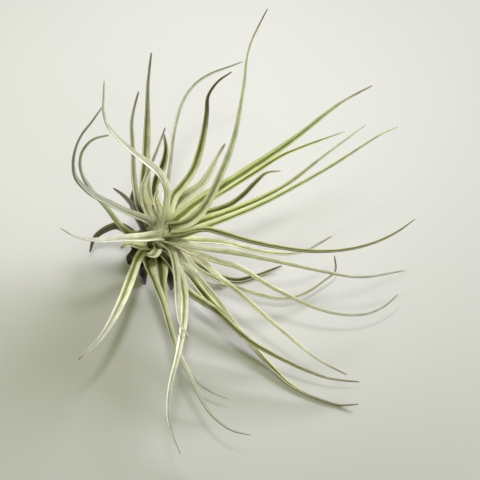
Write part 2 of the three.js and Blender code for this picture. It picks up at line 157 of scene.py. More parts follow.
def labelled_root(turn, ahead):
    """Root corners from the left margin: margin, groove, margin, then the same below."""
    points = places(turn)
    middle = points.mean(0)
    normal = np.cross(points[0] - middle, points[1] - middle)
    count = len(turn)
    bends = []
    for k in range(count):
        bend = np.cross(points[k] - points[k - 1], points[(k + 1) % count] - points[k])
        bends.append(float(bend @ normal))
    if sum(bends) < 0:
        bends = [-bend for bend in bends]
    groove = int(np.argmin(bends))
    facing = points[groove] - points[(groove + count // 2) % count]
    side = np.cross(ahead - middle, facing)
    step = 1 if (points[(groove + 1) % count] - points[groove - 1]) @ side > 0 else -1
    return [turn[(groove + step * (k - 1)) % count] for k in range(count)]


def labelled_next(turn, before):
    """The next ring's corners, in the order of the ring before it."""
    count = len(turn)
    old = places(before)
    old -= old.mean(0)
    linked = [{edge.other_vert(corner) for edge in corner.link_edges} for corner in before]
    best = None
    for step in (1, -1):
        for start in range(count):
            order = [turn[(start + step * k) % count] for k in range(count)]
            apart = sum(order[k] not in linked[k] for k in range(count))
            new = places(order)
            new -= new.mean(0)
            score = (apart, float(((new - old) ** 2).sum()))
            if best is None or score < best[0]:
                best = (score, order)
    return best[1]


def blade_rings(node):
    """The rings of a solid blade, root first, as an array of rings by six corners."""
    solid = bmesh.new()
    solid.from_mesh(frame["nodes"][node].data)
    bmesh.ops.remove_doubles(solid, verts=solid.verts, dist=WELD)
    solid.verts.index_update()
    solid.normal_update()
    ring = root_ring(solid)
    seen = set(ring)
    rings = []
    before = None
    while ring:
        beyond = {e.other_vert(c) for c in ring for e in c.link_edges} - seen
        if before is None:
            turn = in_turn(ring, beyond)
            before = labelled_root(turn, places(beyond).mean(0))
        else:
            before = labelled_next(in_turn(ring, set(before)), before)
        rings.append(places(before))
        seen |= beyond
        ring = beyond
    solid.free()
    return np.array(rings)


# Curves


def unit(vectors):
    """Vectors of the same direction and a length of one."""
    return vectors / np.linalg.norm(vectors, axis=-1, keepdims=True)


def spline(knots, values, at):
    """A smooth curve through the values at the knots, read at other places."""
    slopes = np.gradient(values, knots, axis=0)
    k = np.clip(np.searchsorted(knots, at, side="right") - 1, 0, len(knots) - 2)
    span = knots[k + 1] - knots[k]
    t = (at - knots[k]) / span
    if values.ndim > 1:
        t = t[:, None]
        span = span[:, None]
    return (
        (2 * t**3 - 3 * t**2 + 1) * values[k]
        + (t**3 - 2 * t**2 + t) * span * slopes[k]
        + (3 * t**2 - 2 * t**3) * values[k + 1]
        + (t**3 - t**2) * span * slopes[k + 1]
    )


def lerp(a, b, share):
    """A value that share of the way from a to b."""
    return a + (b - a) * share


def smoothstep(low, high, value):
    """A smooth climb from 0 at low to 1 at high."""
    t = np.clip((value - low) / (high - low), 0, 1)
    return t * t * (3 - 2 * t)


def around_edge(place, widths, value):
    """A smooth climb that starts and ends at these distances from a place."""
    return smoothstep(place + widths[0], place + widths[1], value)


def distances(points):
    """How far along a line of points each one lies."""
    steps = np.linalg.norm(np.diff(points, axis=0), axis=1)
    return np.concatenate([[0], np.cumsum(steps)])


# Leaves

# Steps along each blade and points round its section.
STEP_LENGTH = 0.85 * MM
MIN_STEPS = 36
SECTION_POINTS = 28
TURNS = np.linspace(0, 2 * math.pi, SECTION_POINTS, endpoint=False)
ACROSS = -np.cos(TURNS)
SWELL = np.sin(TURNS)

# The base of a leaf, reshaped to clasp the stem. Its width is the blade's a little further on.
NECK = 5.5 * MM
NECK_SHARE = 0.3
BASE_WIDTH_AT = 0.2
OVER_DROP = 0.6 * MM
NUDGE = 1e-6

# Where a hidden base starts and where it leaves the stem, in millimetres: up from the leaf's height and out
# from the skin for a leaf on the side, then up from the crown and out from the axis for one at the top.
BASE_START = (-6, -0.5, -5, 1.4)
BASE_END = (-1.5, 0.9, 1.5, 2.2)

# Form of a blade along its length.
SHEATH_START = 3 * MM
SHEATH_END = 24 * MM
SHEATH_SHARE = 0.5
TIP_SHARE = 0.5
TIP_POWER = 14
ROOT_ROUNDING = 2.5 * MM
ROOT_TAPER = 0.96
WAVE_HEIGHT = 0.05
SHORT_WAVE = 3.1 * MM
LONG_WAVE = 5.3 * MM
BASE_THICKNESS = 0.75 * MM
TIP_THICKNESS = 0.55 * MM
THICKEST_SHARE = 1.3

# Form of a blade's section: a channel with rounded margins.
BASE_RISE = 0.7
TIP_RISE = 0.85
RISE_ENDS = 0.8
CHANNEL_POWER = 1.7
CHANNEL_DROP = 0.35
MARGIN_POWER = 0.8

# Down on the blades.
HAIRS_PER_MM = 28
BARE_SHARE = 0.15
HAIR_CORNERS = 4
HAIR_LENGTH = 0.36 * MM
HAIR_LENGTHS = (0.5, 1.2)
HAIR_RADIUS = 0.018 * MM
HAIR_LEAN = 1.0
HAIR_SCATTER = 0.3
HAIR_ON_MAP = 0.0003

# How gradually the colours of a leaf change along it.
DRY_EDGE = (-0.08, 0.12)
GREY_EDGE = (-0.2, 0.3)
BLOOM_EDGE = (-0.15, 0.15)
TIP_ZONE = (0.15, 0.85)
ROOT_FADES = 0.2
PALE_FADES = 0.3
PALE_EXTRA = 0.1 * MM
UPPER_STEEPNESS = 2.5
SHADE_RANGE = (0.96, 1.04)


class Look:
    """How one leaf differs from the rest of its colour, with lengths in millimetres. Its shade, and
    tip_shade towards the tip, scale its whole colour: partly its own tone, partly painted shade and painted
    light for how it lies in the light.
    """

    def __init__(
        self,
        tone=None,
        bloom=0.4,
        bloom_end=0.8,
        shade=1.0,
        tip_shade=0.74,
        dries=0.9,
        greys=0.8,
        # root: how far the brown base reaches, partly painted shade between the leaf bases at the crown
        root=5,
        pale=12,
        sheath=1.35,
        plump=1.12,
        over=0,
    ):
        self.tone = tone
        self.bloom = bloom
        self.bloom_end = bloom_end
        self.shade = shade
        self.tip_shade = tip_shade
        self.dries = dries
        self.greys = greys
        self.root = root * MM
        self.pale = pale * MM
        self.sheath = sheath
        self.plump = plump
        self.over = over * MM


PLAIN_LOOK = Look()
# Each leaf's shade mixes its own tone with painted shade and painted light; the darker, wider bases of the
# front leaves are partly painted shade under the crown.
LEAF_LOOKS = {
    "leaf_tall": Look(
        bloom=0.95, bloom_end=1.1, shade=1.1, tip_shade=1.2, greys=0.35, sheath=0.95, plump=1.05
    ),
    "leaf_back_arc": Look(bloom=0.9, shade=0.56, tip_shade=0.78, dries=1.2, greys=0.2),
    "leaf_kinked": Look(
        tone="silver", bloom=0.8, bloom_end=0.4, shade=1.25, tip_shade=0.58, dries=0.66, greys=1.2
    ),
    "leaf_upright": Look(
        tone="silver", bloom=0.7, bloom_end=0.35, shade=0.92, tip_shade=0.54, pale=16, sheath=1.8, plump=1.35
    ),
    "leaf_upright_left": Look(tone="silver", bloom=0.4, shade=0.64, tip_shade=0.54, sheath=1.9, plump=1.4),
    "leaf_towards_eye": Look(
        bloom=0.35, shade=0.92, tip_shade=0.94, dries=1.2, greys=0.3, sheath=1.6, plump=1.2
    ),
    "leaf_short_silver": Look(bloom=1.0, bloom_end=1.0, shade=1.16, tip_shade=0.62, pale=16, sheath=1.8),
    "leaf_short_brown": Look(
        tone="olive", bloom=0.1, shade=0.75, tip_shade=0.7, greys=1.2, sheath=1.1, plump=1.3
    ),
    "leaf_loop_outer": Look(
        bloom=0.35, shade=0.58, tip_shade=0.44, dries=1.2, greys=0.2, pale=8, sheath=1.2, plump=1.25
    ),
    "leaf_loop_inner": Look(
        tone="green", bloom=0.05, shade=0.66, tip_shade=0.7, dries=1.2, greys=0.4, pale=3, plump=1.7
    ),
    "leaf_left": Look(
        bloom=0.35,
        bloom_end=1.2,
        shade=0.85,
        tip_shade=0.72,
        dries=1.2,
        greys=0.3,
        sheath=1.15,
        plump=1.25,
        over=12,
    ),
    "leaf_front_left": Look(bloom=0.6, shade=1.3, tip_shade=0.62, dries=0.94, greys=0.6, sheath=0.95),
    "leaf_front_low": Look(
        bloom=0.15, shade=0.72, tip_shade=0.62, dries=1.2, greys=0.6, pale=3, sheath=2.0
    ),
    "leaf_front_long": Look(
        bloom=0.15, shade=0.72, tip_shade=0.6, dries=1.2, greys=0.6, pale=3, sheath=2.0, plump=1.25
    ),
    "leaf_front_high": Look(bloom=0.7, shade=1.06, tip_shade=0.72, dries=1.2, greys=0.6, pale=30),
    "leaf_hanging": Look(
        bloom=0.8, bloom_end=1.1, shade=0.76, tip_shade=0.78, dries=1.2, greys=0.5, pale=20
    ),
    "leaf_low_dark": Look(bloom=0.15, shade=0.84, tip_shade=0.84, plump=1.3),
    "leaf_low_resting": Look(
        tone="olive", bloom=0.15, shade=1.2, tip_shade=1.1, dries=0.8, pale=30, sheath=1.5
    ),
    "leaf_low_short": Look(tone="silver", bloom=0.4, shade=0.7, tip_shade=0.72, pale=30),
    "leaf_right_low": Look(
        tone="silver", bloom=0.7, bloom_end=0.5, shade=1.02, tip_shade=0.8, pale=42, sheath=1.7
    ),
    "leaf_right_sagging": Look(
        tone="silver",
        bloom=0.5,
        bloom_end=0.4,
        shade=0.88,
        tip_shade=0.54,
        dries=1.2,
        greys=0.7,
        pale=42,
        sheath=1.7,
    ),
    "leaf_right_level": Look(
        tone="silver",
        bloom=0.4,
        bloom_end=0.4,
        shade=0.8,
        tip_shade=0.56,
        dries=1.2,
        greys=0.7,
        pale=40,
        sheath=1.7,
    ),
    "leaf_right_long": Look(
        tone="olive", bloom=0.05, bloom_end=1.2, shade=0.78, tip_shade=0.56, dries=1.2, greys=1.2
    ),
    "leaf_right_hidden": Look(
        tone="silver", bloom=0.8, bloom_end=0.6, shade=1.08, tip_shade=0.68, pale=42, sheath=1.8
    ),
    "leaf_ground_dark": Look(
        bloom=0.05, shade=0.6, tip_shade=0.6, greys=1.2, pale=14, sheath=1.4, plump=1.3
    ),
    "leaf_ground_bent": Look(tone="silver", bloom=0.4, shade=0.76, tip_shade=0.64, pale=28, sheath=1.4),
    "leaf_upper_right_top": Look(
        bloom=0.6, bloom_end=1.2, shade=1.45, tip_shade=1.15, greys=0.7, root=13
    ),
    "leaf_upper_right_under": Look(
        bloom=0.3, bloom_end=1.2, shade=1.1, tip_shade=1.0, dries=1.2, greys=0.8, root=9
    ),
    "leaf_upper_right_pair": Look(
        bloom=0.35, bloom_end=1.2, shade=1.15, tip_shade=0.9, dries=1.2, greys=0.6
    ),
    "leaf_upper_right_low": Look(
        bloom=0.45, bloom_end=1.2, shade=1.2, tip_shade=0.78, dries=1.2, greys=0.9
    ),
    "leaf_short_hooked": Look(
        tone="silver", bloom=0.1, shade=0.9, tip_shade=0.5, dries=1.2, greys=1.2
    ),
    "leaf_back_silver": Look(
        tone="silver",
        bloom=1.0,
        bloom_end=1.2,
        shade=1.05,
        tip_shade=1.15,
        greys=0.3,
        root=9,
        pale=20,
        plump=1.6,
    ),
    "curled_leaf": Look(
        tone="silver", bloom=0.9, bloom_end=1.2, shade=1.3, tip_shade=1.2, plump=1.4
    ),
    "rolled_leaf": Look(
        tone="silver", bloom=0.9, bloom_end=1.2, shade=1.3, tip_shade=1.2, plump=1.4
    ),
    # The old leaves are dry and dark; their low shade and widened bases are partly painted shade in the dark
    # gaps beside and under the crown.
    "old_leaf_left": Look(
        tone="dry", bloom=0.05, shade=0.35, tip_shade=0.4, greys=1.2, pale=0, sheath=1.1, plump=1.6
    ),
    "old_leaf_foot": Look(
        bloom=0.05, shade=0.42, tip_shade=0.36, greys=1.2, pale=0, sheath=1.6, plump=2.1
    ),
    "old_leaf_front": Look(bloom=0.05, shade=0.42, tip_shade=0.4, greys=1.2, pale=0, plump=2.8),
    "old_leaf_stub": Look(bloom=0.3, shade=0.5, tip_shade=0.45, greys=1.2, plump=1.3),
    "old_leaf_wedge": Look(
        bloom=0.05, shade=0.36, tip_shade=0.34, greys=1.2, pale=0, sheath=1.6, plump=1.7
    ),
    "old_leaf_right": Look(tone="silver", bloom=0.3, shade=0.5, tip_shade=0.75),
    "old_leaf_low": Look(tone="silver", bloom=0.2, shade=0.72, tip_shade=0.62),
    "dry_sheath": Look(bloom=0.8, bloom_end=1.2, shade=0.5, tip_shade=2.3, greys=1.2, plump=1.4),
}


def hidden_place(height, radius, radial, climb, offsets):
    """A point of a leaf's hidden base, nearer to the crown the more the leaf climbs."""
    side_up, side_out, crown_up, crown_out = (offset * MM for offset in offsets)
    up = lerp(height + side_up, STEM_LENGTH + crown_up, climb)
    out = lerp(radius + side_out, crown_out, climb)
    return FOOT + AXIS * up + radial * out


def leaf_path(node, look):
    """Knots, centres, facings and half widths of a leaf, with its base on the stem."""
    left, groove, right, right_under, groove_under, left_under = blade_rings(node).swapaxes(0, 1)
    centres = (groove + groove_under) / 2
    facings = unit(groove - groove_under)
    halves = np.linalg.norm(right + right_under - left - left_under, axis=1) / 4
    reach = distances(centres)
    length = reach[-1]
    first = int(np.argmax(reach > min(NECK, NECK_SHARE * length)))
    share, outward, radius, _ = on_stem(centres[0])
    climb = max(0.0, float(outward @ AXIS))
    radial = unit(outward - AXIS * (outward @ AXIS) + NUDGE)
    low = hidden_place(share * STEM_LENGTH, radius, radial, climb, BASE_START)
    high = hidden_place(share * STEM_LENGTH, radius, radial, climb, BASE_END)
    if look.over:
        ahead = unit(centres[first + 1] - centres[first])
        low = centres[first] - ahead * look.over - AXIS * OVER_DROP
        high = centres[first] - ahead * look.over / 2
    centres = np.concatenate([[low, high], centres[first:]])
    facing = facings[first]
    back = []
    for k in (1, 0):
        tangent = unit(centres[k + 1] - centres[k])
        facing = unit(facing - tangent * (facing @ tangent))
        back.append(facing)
    facings = np.concatenate([back[::-1], facings[first:]])
    half = max(halves[first], float(np.interp(BASE_WIDTH_AT * length, reach, halves)))
    halves = np.concatenate([[half, half], np.maximum(halves[first:], 0)])
    return distances(centres), centres, facings, halves


def shaped_widths(look, share, at, half):
    """Half widths of a blade with its sheath, fine tip, rounded root and slight waves."""
    sheath_end = min(SHEATH_END, SHEATH_SHARE * at[-1])
    half = half * look.plump
    half *= lerp(look.sheath, 1, smoothstep(SHEATH_START, sheath_end, at))
    half *= 1 - (1 - TIP_SHARE) * share**TIP_POWER
    half *= np.sqrt(1 - ROOT_TAPER * (1 - np.clip(at / ROOT_ROUNDING, 0, 1)) ** 2)
    short, long = draw.uniform(0, 2 * math.pi, 2)
    waves = np.sin(at / SHORT_WAVE + short) + np.sin(at / LONG_WAVE + long)
    return half * (1 + WAVE_HEIGHT * waves / 2)


def blade_rows(path, side, facing, half, share):
    """The points of a blade, a row round each section."""
    rise = lerp(BASE_RISE, TIP_RISE, smoothstep(0, RISE_ENDS, share))
    thick = np.minimum(lerp(BASE_THICKNESS, TIP_THICKNESS, share), half * THICKEST_SHARE)
    x = half[:, None] * ACROSS
    lift = half[:, None] * rise[:, None] * (np.abs(ACROSS) ** CHANNEL_POWER - CHANNEL_DROP)
    bulge = np.sign(SWELL) * np.abs(SWELL) ** MARGIN_POWER
    y = lift + thick[:, None] / 2 * bulge
    rows = path[:, None] + side[:, None] * x[..., None] + facing[:, None] * y[..., None]
    rows[..., 2] = np.maximum(rows[..., 2], FLOOR_GAP)
    return rows


def down(rows, count):
    """Short hairs on a blade: their corners, and the row of the blade that each stands on."""
    last, around = rows.shape[0] - 2, rows.shape[1]
    standing = down_draw.integers(1, last, count)
    beside = down_draw.integers(0, around, count)
    here = rows[standing, beside]
    along = rows[standing + 1, beside] - here
    across = rows[standing, (beside + 1) % around] - here
    foot = here + along * down_draw.random((count, 1)) + across * down_draw.random((count, 1))
    outward = unit(np.cross(across, along))
    scatter = down_draw.normal(0, HAIR_SCATTER, (count, 3))
    lean = unit(outward + unit(along) * HAIR_LEAN + scatter)
    length = HAIR_LENGTH * down_draw.uniform(*HAIR_LENGTHS, (count, 1))
    side = unit(np.cross(lean, across)) * HAIR_RADIUS
    other = np.cross(lean, side)
    foot = foot - outward * HAIR_RADIUS
    tip = foot + lean * length
    corners = [tip, foot + side, foot - side / 2 + other, foot - side / 2 - other]
    corners = np.stack(corners, axis=1).reshape(-1, 3)
    corners[:, 2] = np.maximum(corners[:, 2], FLOOR_GAP)
    return corners, standing


def tube(rows, lengthwise):
    """The faces of a closed tube through rows of points, and their places on the map for its finish."""
    count, around = rows.shape[:2]
    faces = []
    uvs = []
    for i in range(count - 1):
        low, high = lengthwise[i], lengthwise[i + 1]
        for j in range(around):
            k = (j + 1) % around
            left, right = j / around, (j + 1) / around
            faces.append((i * around + j, (i + 1) * around + j, (i + 1) * around + k, i * around + k))
            uvs += [(left, low), (left, high), (right, high), (right, low)]
    last = (count - 1) * around
    faces.append(tuple(range(around)))
    faces.append(tuple(last + j for j in reversed(range(around))))
    uvs += [(j / around, 0.0) for j in range(around)]
    uvs += [(j / around, 1.0) for j in reversed(range(around))]
    return faces, uvs


def hair_faces(first, lengthwise):
    """The faces of hairs whose corners start at this point, and their places on the map, at the margin."""
    faces = []
    uvs = []
    for k, v in enumerate(lengthwise):
        start = first + HAIR_CORNERS * k
        tip, a, b, c = range(start, start + HAIR_CORNERS)
        faces += [(tip, a, b), (tip, b, c), (tip, c, a), (c, b, a)]
        uvs += [(0.5, v), (0.5 + HAIR_ON_MAP, v), (0.5, v + HAIR_ON_MAP)] * HAIR_CORNERS
    return faces, uvs


def leaf_fields(look, share, at, half, standing):
    """What a leaf's finish reads: for each label, the values on the blade's rows and those on its hairs."""
    dried = around_edge(look.dries, DRY_EDGE, share)
    greyed = around_edge(look.greys, GREY_EDGE, share)
    bloom = look.bloom * (1 - around_edge(look.bloom_end, BLOOM_EDGE, share))
    shade = lerp(look.shade, look.tip_shade, smoothstep(*TIP_ZONE, share)) * draw.uniform(*SHADE_RANGE)
    seed = draw.uniform(0, MAX_SEED)
    bare = 0 if look.over else 1
    # The brown root is partly painted shade: it reaches further on leaves whose bases sit in a dark gap.
    root = (1 - smoothstep(ROOT_FADES * look.root, look.root, at)) * bare
    pale = 1 - smoothstep(PALE_FADES * look.pale, look.pale + PALE_EXTRA, at)
    return {
        "across": (ACROSS, 1.0),
        "upper": (np.clip(SWELL * UPPER_STEEPNESS + 0.5, 0, 1), 1.0),
        "reach": (at[:, None] / MM, at[standing] / MM),
        "wide": (half[:, None] * ACROSS / MM, half[standing] / MM),
        "dried": (dried[:, None], dried[standing]),
        "greyed": (greyed[:, None], greyed[standing]),
        "bloom": (bloom[:, None], 1.0),
        "shade": (shade[:, None], np.maximum(shade[standing], look.shade)),
        "seed": (seed, seed),
        "root": (root[:, None], 0.0),
        "pale": (pale[:, None], pale[standing]),
    }


def give(mesh, label, values):
    """Stores one number for each point of a mesh, for its material to read."""
    made = mesh.attributes.new(label, "FLOAT", "POINT")
    made.data.foreach_set("value", np.ascontiguousarray(values, np.float32).ravel())


def smooth_mesh(name, points, faces):
    """A smoothly shaded mesh."""
    mesh = bpy.data.meshes.new(name)
    mesh.from_pydata(points, [], faces)
    for polygon in mesh.polygons:
        polygon.use_smooth = True
    return mesh


def leaf_mesh(name, node):
    """One leaf with its down."""
    look = LEAF_LOOKS.get(node, PLAIN_LOOK)
    knots, centres, facings, halves = leaf_path(node, look)
    length = knots[-1]
    count = max(MIN_STEPS, int(length / STEP_LENGTH))
    share = np.linspace(0, 1, count)
    at = share * length
    half = shaped_widths(look, share, at, np.interp(at, knots, halves))
    path = spline(knots, centres, at)
    tangent = unit(np.gradient(path, at, axis=0))
    side = unit(np.cross(tangent, spline(knots, facings, at)))
    rows = blade_rows(path, side, np.cross(side, tangent), half, share)
    hairs, standing = down(rows, int(length / MM * HAIRS_PER_MM * (BARE_SHARE + look.bloom)))

    faces, uvs = tube(rows, share)
    hair_sides, hair_uvs = hair_faces(count * SECTION_POINTS, share[standing])
    points = np.concatenate([rows.reshape(-1, 3), hairs])
    mesh = smooth_mesh(name, points.tolist(), faces + hair_sides)
    layer = mesh.uv_layers.new(name="OFBake")
    layer.uv.foreach_set("vector", np.array(uvs + hair_uvs, np.float32).ravel())
    for label, (on_blade, on_hairs) in leaf_fields(look, share, at, half, standing).items():
        blade = np.broadcast_to(on_blade, (count, SECTION_POINTS)).ravel()
        hair = np.broadcast_to(on_hairs, standing.shape)
        give(mesh, label, np.concatenate([blade, np.repeat(hair, HAIR_CORNERS)]))
    return mesh


# Materials


def linear(red, green, blue):
    """A colour of the usual 0 to 255 kind, as light."""
    shares = [value / 255 for value in (red, green, blue)]
    return tuple(s / 12.92 if s <= 0.04045 else ((s + 0.055) / 1.055) ** 2.4 for s in shares) + (1.0,)


class Nodes:
    """A material's nodes, made one after another."""

    def __init__(self, name):
        self.material = bpy.data.materials.new(name)
        self.material.use_nodes = True
        self.tree = self.material.node_tree
        self.shader = self.tree.nodes["Principled BSDF"]

    def add(self, kind, **settings):
        node = self.tree.nodes.new(kind)
        for key, value in settings.items():
            setattr(node, key, value)
        return node

    def feed(self, socket, value):
        if hasattr(value, "is_output"):
            self.tree.links.new(value, socket)
        elif value is not None:
            socket.default_value = value

    def finish(self, **values):
        """Sets the shader's own values, with an underscore for each space in a name."""
        for name, value in values.items():
            self.feed(self.shader.inputs[name.replace("_", " ")], value)
        return self.material

    def read(self, name):
        return self.add("ShaderNodeAttribute", attribute_name=name).outputs["Fac"]

    def math(self, operation, a, b=None, c=None):
        node = self.add("ShaderNodeMath", operation=operation)
        for socket, value in zip(node.inputs, (a, b, c)):
            self.feed(socket, value)
        return node.outputs[0]

    def times(self, a, b):
        return self.math("MULTIPLY", a, b)

    def swing(self, noise, amount, middle):
        """A value that a noise moves to both sides of its middle."""
        return self.math("MULTIPLY_ADD", self.math("SUBTRACT", noise, 0.5), amount, middle)

    def ramp(self, value, low, high, to_low=0.0, to_high=1.0):
        node = self.add("ShaderNodeMapRange", interpolation_type="SMOOTHSTEP", clamp=True)
        names = ("Value", "From Min", "From Max", "To Min", "To Max")
        for key, item in zip(names, (value, low, high, to_low, to_high)):
            self.feed(node.inputs[key], item)
        return node.outputs["Result"]

    def mix(self, share, a, b, blend="MIX"):
        node = self.add("ShaderNodeMix", data_type="RGBA", blend_type=blend)
        self.feed(node.inputs["Factor"], share)
        colours = [socket for socket in node.inputs if socket.type == "RGBA"]
        self.feed(colours[0], a)
        self.feed(colours[1], b)
        return next(socket for socket in node.outputs if socket.type == "RGBA")

    def vector(self, x, y, z):
        node = self.add("ShaderNodeCombineXYZ")
        for socket, value in zip(node.inputs, (x, y, z)):
            self.feed(socket, value)
        return node.outputs[0]

    def marks_at(self, across, along, seed, per_mm):
        """Places for marks, so many to a millimetre across and along the piece."""
        return self.vector(self.times(across, per_mm[0]), self.times(along, per_mm[1]), seed)

    def noise(self, vector, scale, detail=2.0, roughness=0.5):
        node = self.add("ShaderNodeTexNoise")
        self.feed(node.inputs["Vector"], vector)
        node.inputs["Scale"].default_value = scale
        node.inputs["Detail"].default_value = detail
        node.inputs["Roughness"].default_value = roughness
        return node.outputs["Fac"]

    def scales(self, vector, scale):
        node = self.add("ShaderNodeTexVoronoi", feature="F1")
        self.feed(node.inputs["Vector"], vector)
        node.inputs["Scale"].default_value = scale
        return node.outputs["Distance"]

    def bump(self, height, strength, distance, normal=None):
        node = self.add("ShaderNodeBump")
        node.inputs["Strength"].default_value = strength
        node.inputs["Distance"].default_value = distance
        self.feed(node.inputs["Height"], height)
        if normal is not None:
            self.feed(node.inputs["Normal"], normal)
        return node.outputs["Normal"]


# Colours of the blades by tone.
TONES = {
    "silver": {
        "groove": (104, 111, 46),
        "blade": (204, 207, 162),
        "margin": (250, 248, 222),
        "under": (210, 212, 178),
        "groove_width": 0.42,
    },
    "green": {
        "groove": (86, 100, 10),
        "blade": (186, 193, 114),
        "margin": (248, 248, 206),
        "under": (194, 199, 140),
        "groove_width": 0.46,
    },
    "olive": {
        "groove": (56, 64, 8),
        "blade": (116, 122, 54),
        "margin": (226, 224, 172),
        "under": (126, 130, 76),
        "groove_width": 0.54,
    },
    "dry": {
        "groove": (70, 60, 40),
        "blade": (118, 104, 74),
        "margin": (172, 160, 126),
        "under": (104, 92, 64),
        "groove_width": 0.4,
    },
}
DRY_TIP = linear(122, 106, 84)
GREY_TIP = linear(196, 196, 190)
SHEATH = linear(240, 237, 214)
# Brown of the papery leaf bases, and painted shade in the gaps between them at the crown.
ROOT_BROWN_AND_SHADE = linear(78, 68, 38)
BLOOM = linear(218, 220, 200)
BRIGHTEST = linear(238, 238, 212)

# Marks to a millimetre, across and along a blade.
STREAKS_PER_MM = (4.0, 0.2)
SPOTS_PER_MM = (1.0, 0.55)
FUZZ_PER_MM = (5.5, 3.2)

GROOVE_INNER = 0.45
GROOVE_OUTER = 1.1
GROOVE_WANDER = 0.4
ROOT_COVER = 0.85
BROAD_MOTTLE = 0.7
FINE_MOTTLE = 0.6
STREAK_DEPTH = 0.15 * MM
FUZZ_DEPTH = 0.05 * MM
LEAF_BUMP = 0.35
LEAF_SHEEN = 0.25
LEAF_SHEEN_ROUGHNESS = 0.5
LEAF_SPECULAR = 0.35


def leaf_material(name, groove, blade, margin, under, groove_width):
    """A channelled blade: dark groove, pale margin, silver scales, cream sheath, brown root with painted
    shade, and dry tip.
    """
    made = Nodes(name)
    across = made.math("ABSOLUTE", made.read("across"))
    reach = made.read("reach")
    wide = made.read("wide")
    seed = made.read("seed")
    spots_at = made.marks_at(wide, reach, seed, SPOTS_PER_MM)
    streaks = made.noise(made.marks_at(wide, reach, seed, STREAKS_PER_MM), 1.0, 3.0, 0.6)
    spots = made.noise(spots_at, 2.4, 3.0, 0.6)
    blotches = made.noise(spots_at, 0.35, 2.0, 0.5)
    fuzz = made.scales(made.marks_at(wide, reach, seed, FUZZ_PER_MM), 1.0)

    wander = made.swing(streaks, GROOVE_WANDER, across)
    in_groove = made.ramp(wander, groove_width * GROOVE_INNER, groove_width * GROOVE_OUTER, 1.0, 0.0)
    at_margin = made.ramp(wander, 0.5, 0.8)
    top = made.mix(in_groove, linear(*blade), linear(*groove))
    top = made.mix(at_margin, top, linear(*margin))
    below = made.mix(made.ramp(streaks, 0.35, 0.65), linear(*under), linear(*blade))
    below = made.mix(made.ramp(across, 0.7, 1.0), below, linear(*margin))
    colour = made.mix(made.read("upper"), below, top)

    greyed = made.times(made.read("greyed"), made.ramp(spots, 0.2, 0.7, 0.6, 0.92))
    greyed = made.times(greyed, made.ramp(in_groove, 0.0, 1.0, 1.0, 0.7))
    colour = made.mix(greyed, colour, GREY_TIP)
    silver = made.times(made.ramp(spots, 0.2, 0.7, 0.35, 1.0), made.read("bloom"))
    silver = made.times(silver, made.ramp(in_groove, 0.0, 1.0, 0.75, 0.2))
    colour = made.mix(silver, colour, BLOOM)
    sheath = made.times(made.read("pale"), made.ramp(in_groove, 0.0, 1.0, 0.8, 0.5))
    colour = made.mix(sheath, colour, SHEATH)
    # Papery brown and painted shade at the leaf roots.
    colour = made.mix(made.times(made.read("root"), ROOT_COVER), colour, ROOT_BROWN_AND_SHADE)
    dryness = made.times(made.read("dried"), made.ramp(streaks, 0.2, 0.6, 0.7, 1.0))
    colour = made.mix(dryness, colour, DRY_TIP)

    mottle = made.swing(spots, FINE_MOTTLE, made.swing(blotches, BROAD_MOTTLE, 1.0))
    # Each leaf's shade: its own tone together with painted shade and painted light.
    shade = made.times(made.read("shade"), mottle)
    colour = made.mix(1.0, colour, made.vector(shade, shade, shade), "MULTIPLY")
    colour = made.mix(1.0, colour, BRIGHTEST, "DARKEN")
    normal = made.bump(streaks, LEAF_BUMP, STREAK_DEPTH)
    return made.finish(
        Base_Color=colour,
        Roughness=made.ramp(spots, 0.2, 0.8, 0.62, 0.88),
        Sheen_Weight=LEAF_SHEEN,
        Sheen_Roughness=LEAF_SHEEN_ROUGHNESS,
        Specular_IOR_Level=LEAF_SPECULAR,
        Normal=made.bump(fuzz, LEAF_BUMP, FUZZ_DEPTH, normal),
    )


# Stem

STEM_SIDE = unit(np.cross(AXIS, np.array([0.0, 1.0, 0.0])))
STEM_OTHER_SIDE = np.cross(AXIS, STEM_SIDE)
GOLDEN_ANGLE = math.pi * (3 - math.sqrt(5))

# The core under the leaf bases. A ripple is waves to a turn, waves by height and depth.
CORE_SIDES = 40
CORE_STEPS = 40
CORE_START = -2 * MM
# The core is older than any base, so it takes the darkest bark: old bark and painted shade in the gaps
# between the bases.
CORE_AGE = -0.2
CORE_RIPPLES = ((7, 900, 0.05), (13, -500, 0.04))
CORE_SHARE = 0.88
DOME_START = 0.8 * STEM_LENGTH
DOME_TOP = 1.13 * STEM_LENGTH
DOME_LEAST = 0.0004

# Any one leaf base, a thin sheet with a torn end.
BASE_ROWS = 9
BASE_COLUMNS = 11
SHEET_THICKNESS = 0.25 * MM
SHEET_LIFT = 0.15 * MM
RIDGE_HEIGHT = 0.5 * MM
TAPER_SHARE = 0.9
TAPER_POWER = 2.4
END_ROUNDING = 0.25
LEAST_RADIUS = 2 * MM

# Short bases all the way up the stem, with sizes in millimetres.
SCALE_COUNT = 72
SCALE_BELOW = 1.5 * MM
SCALE_TOP = 3.5 * MM
SCALE_CROWDING = 0.9
SCALE_WHOLE = 0.75
SCALE_AGES = (-0.12, 0.12)
SCALE_LENGTHS = (4.5, 8.5)
SCALE_HALF_WIDTHS = (1.8, 3.4)
SCALE_FLARES = (0.2, 1.5)

# Longer bases on the upper side of the stem, with sizes in millimetres.
HUSK_COUNT = 22
HUSK_HEIGHTS = (0.12, 0.58)
HUSK_SPREAD = math.radians(75)
HUSK_LEAN = math.radians(10)
HUSK_WHOLE = 0.55
HUSK_LENGTHS = (6, 9.5)
HUSK_HALF_WIDTHS = (1.2, 2.6)
HUSK_FLARES = (1.5, 4.5)
HUSK_AGES = (-0.1, 0.6)
HUSK_AGE_SPREAD = (0.0, 0.4)

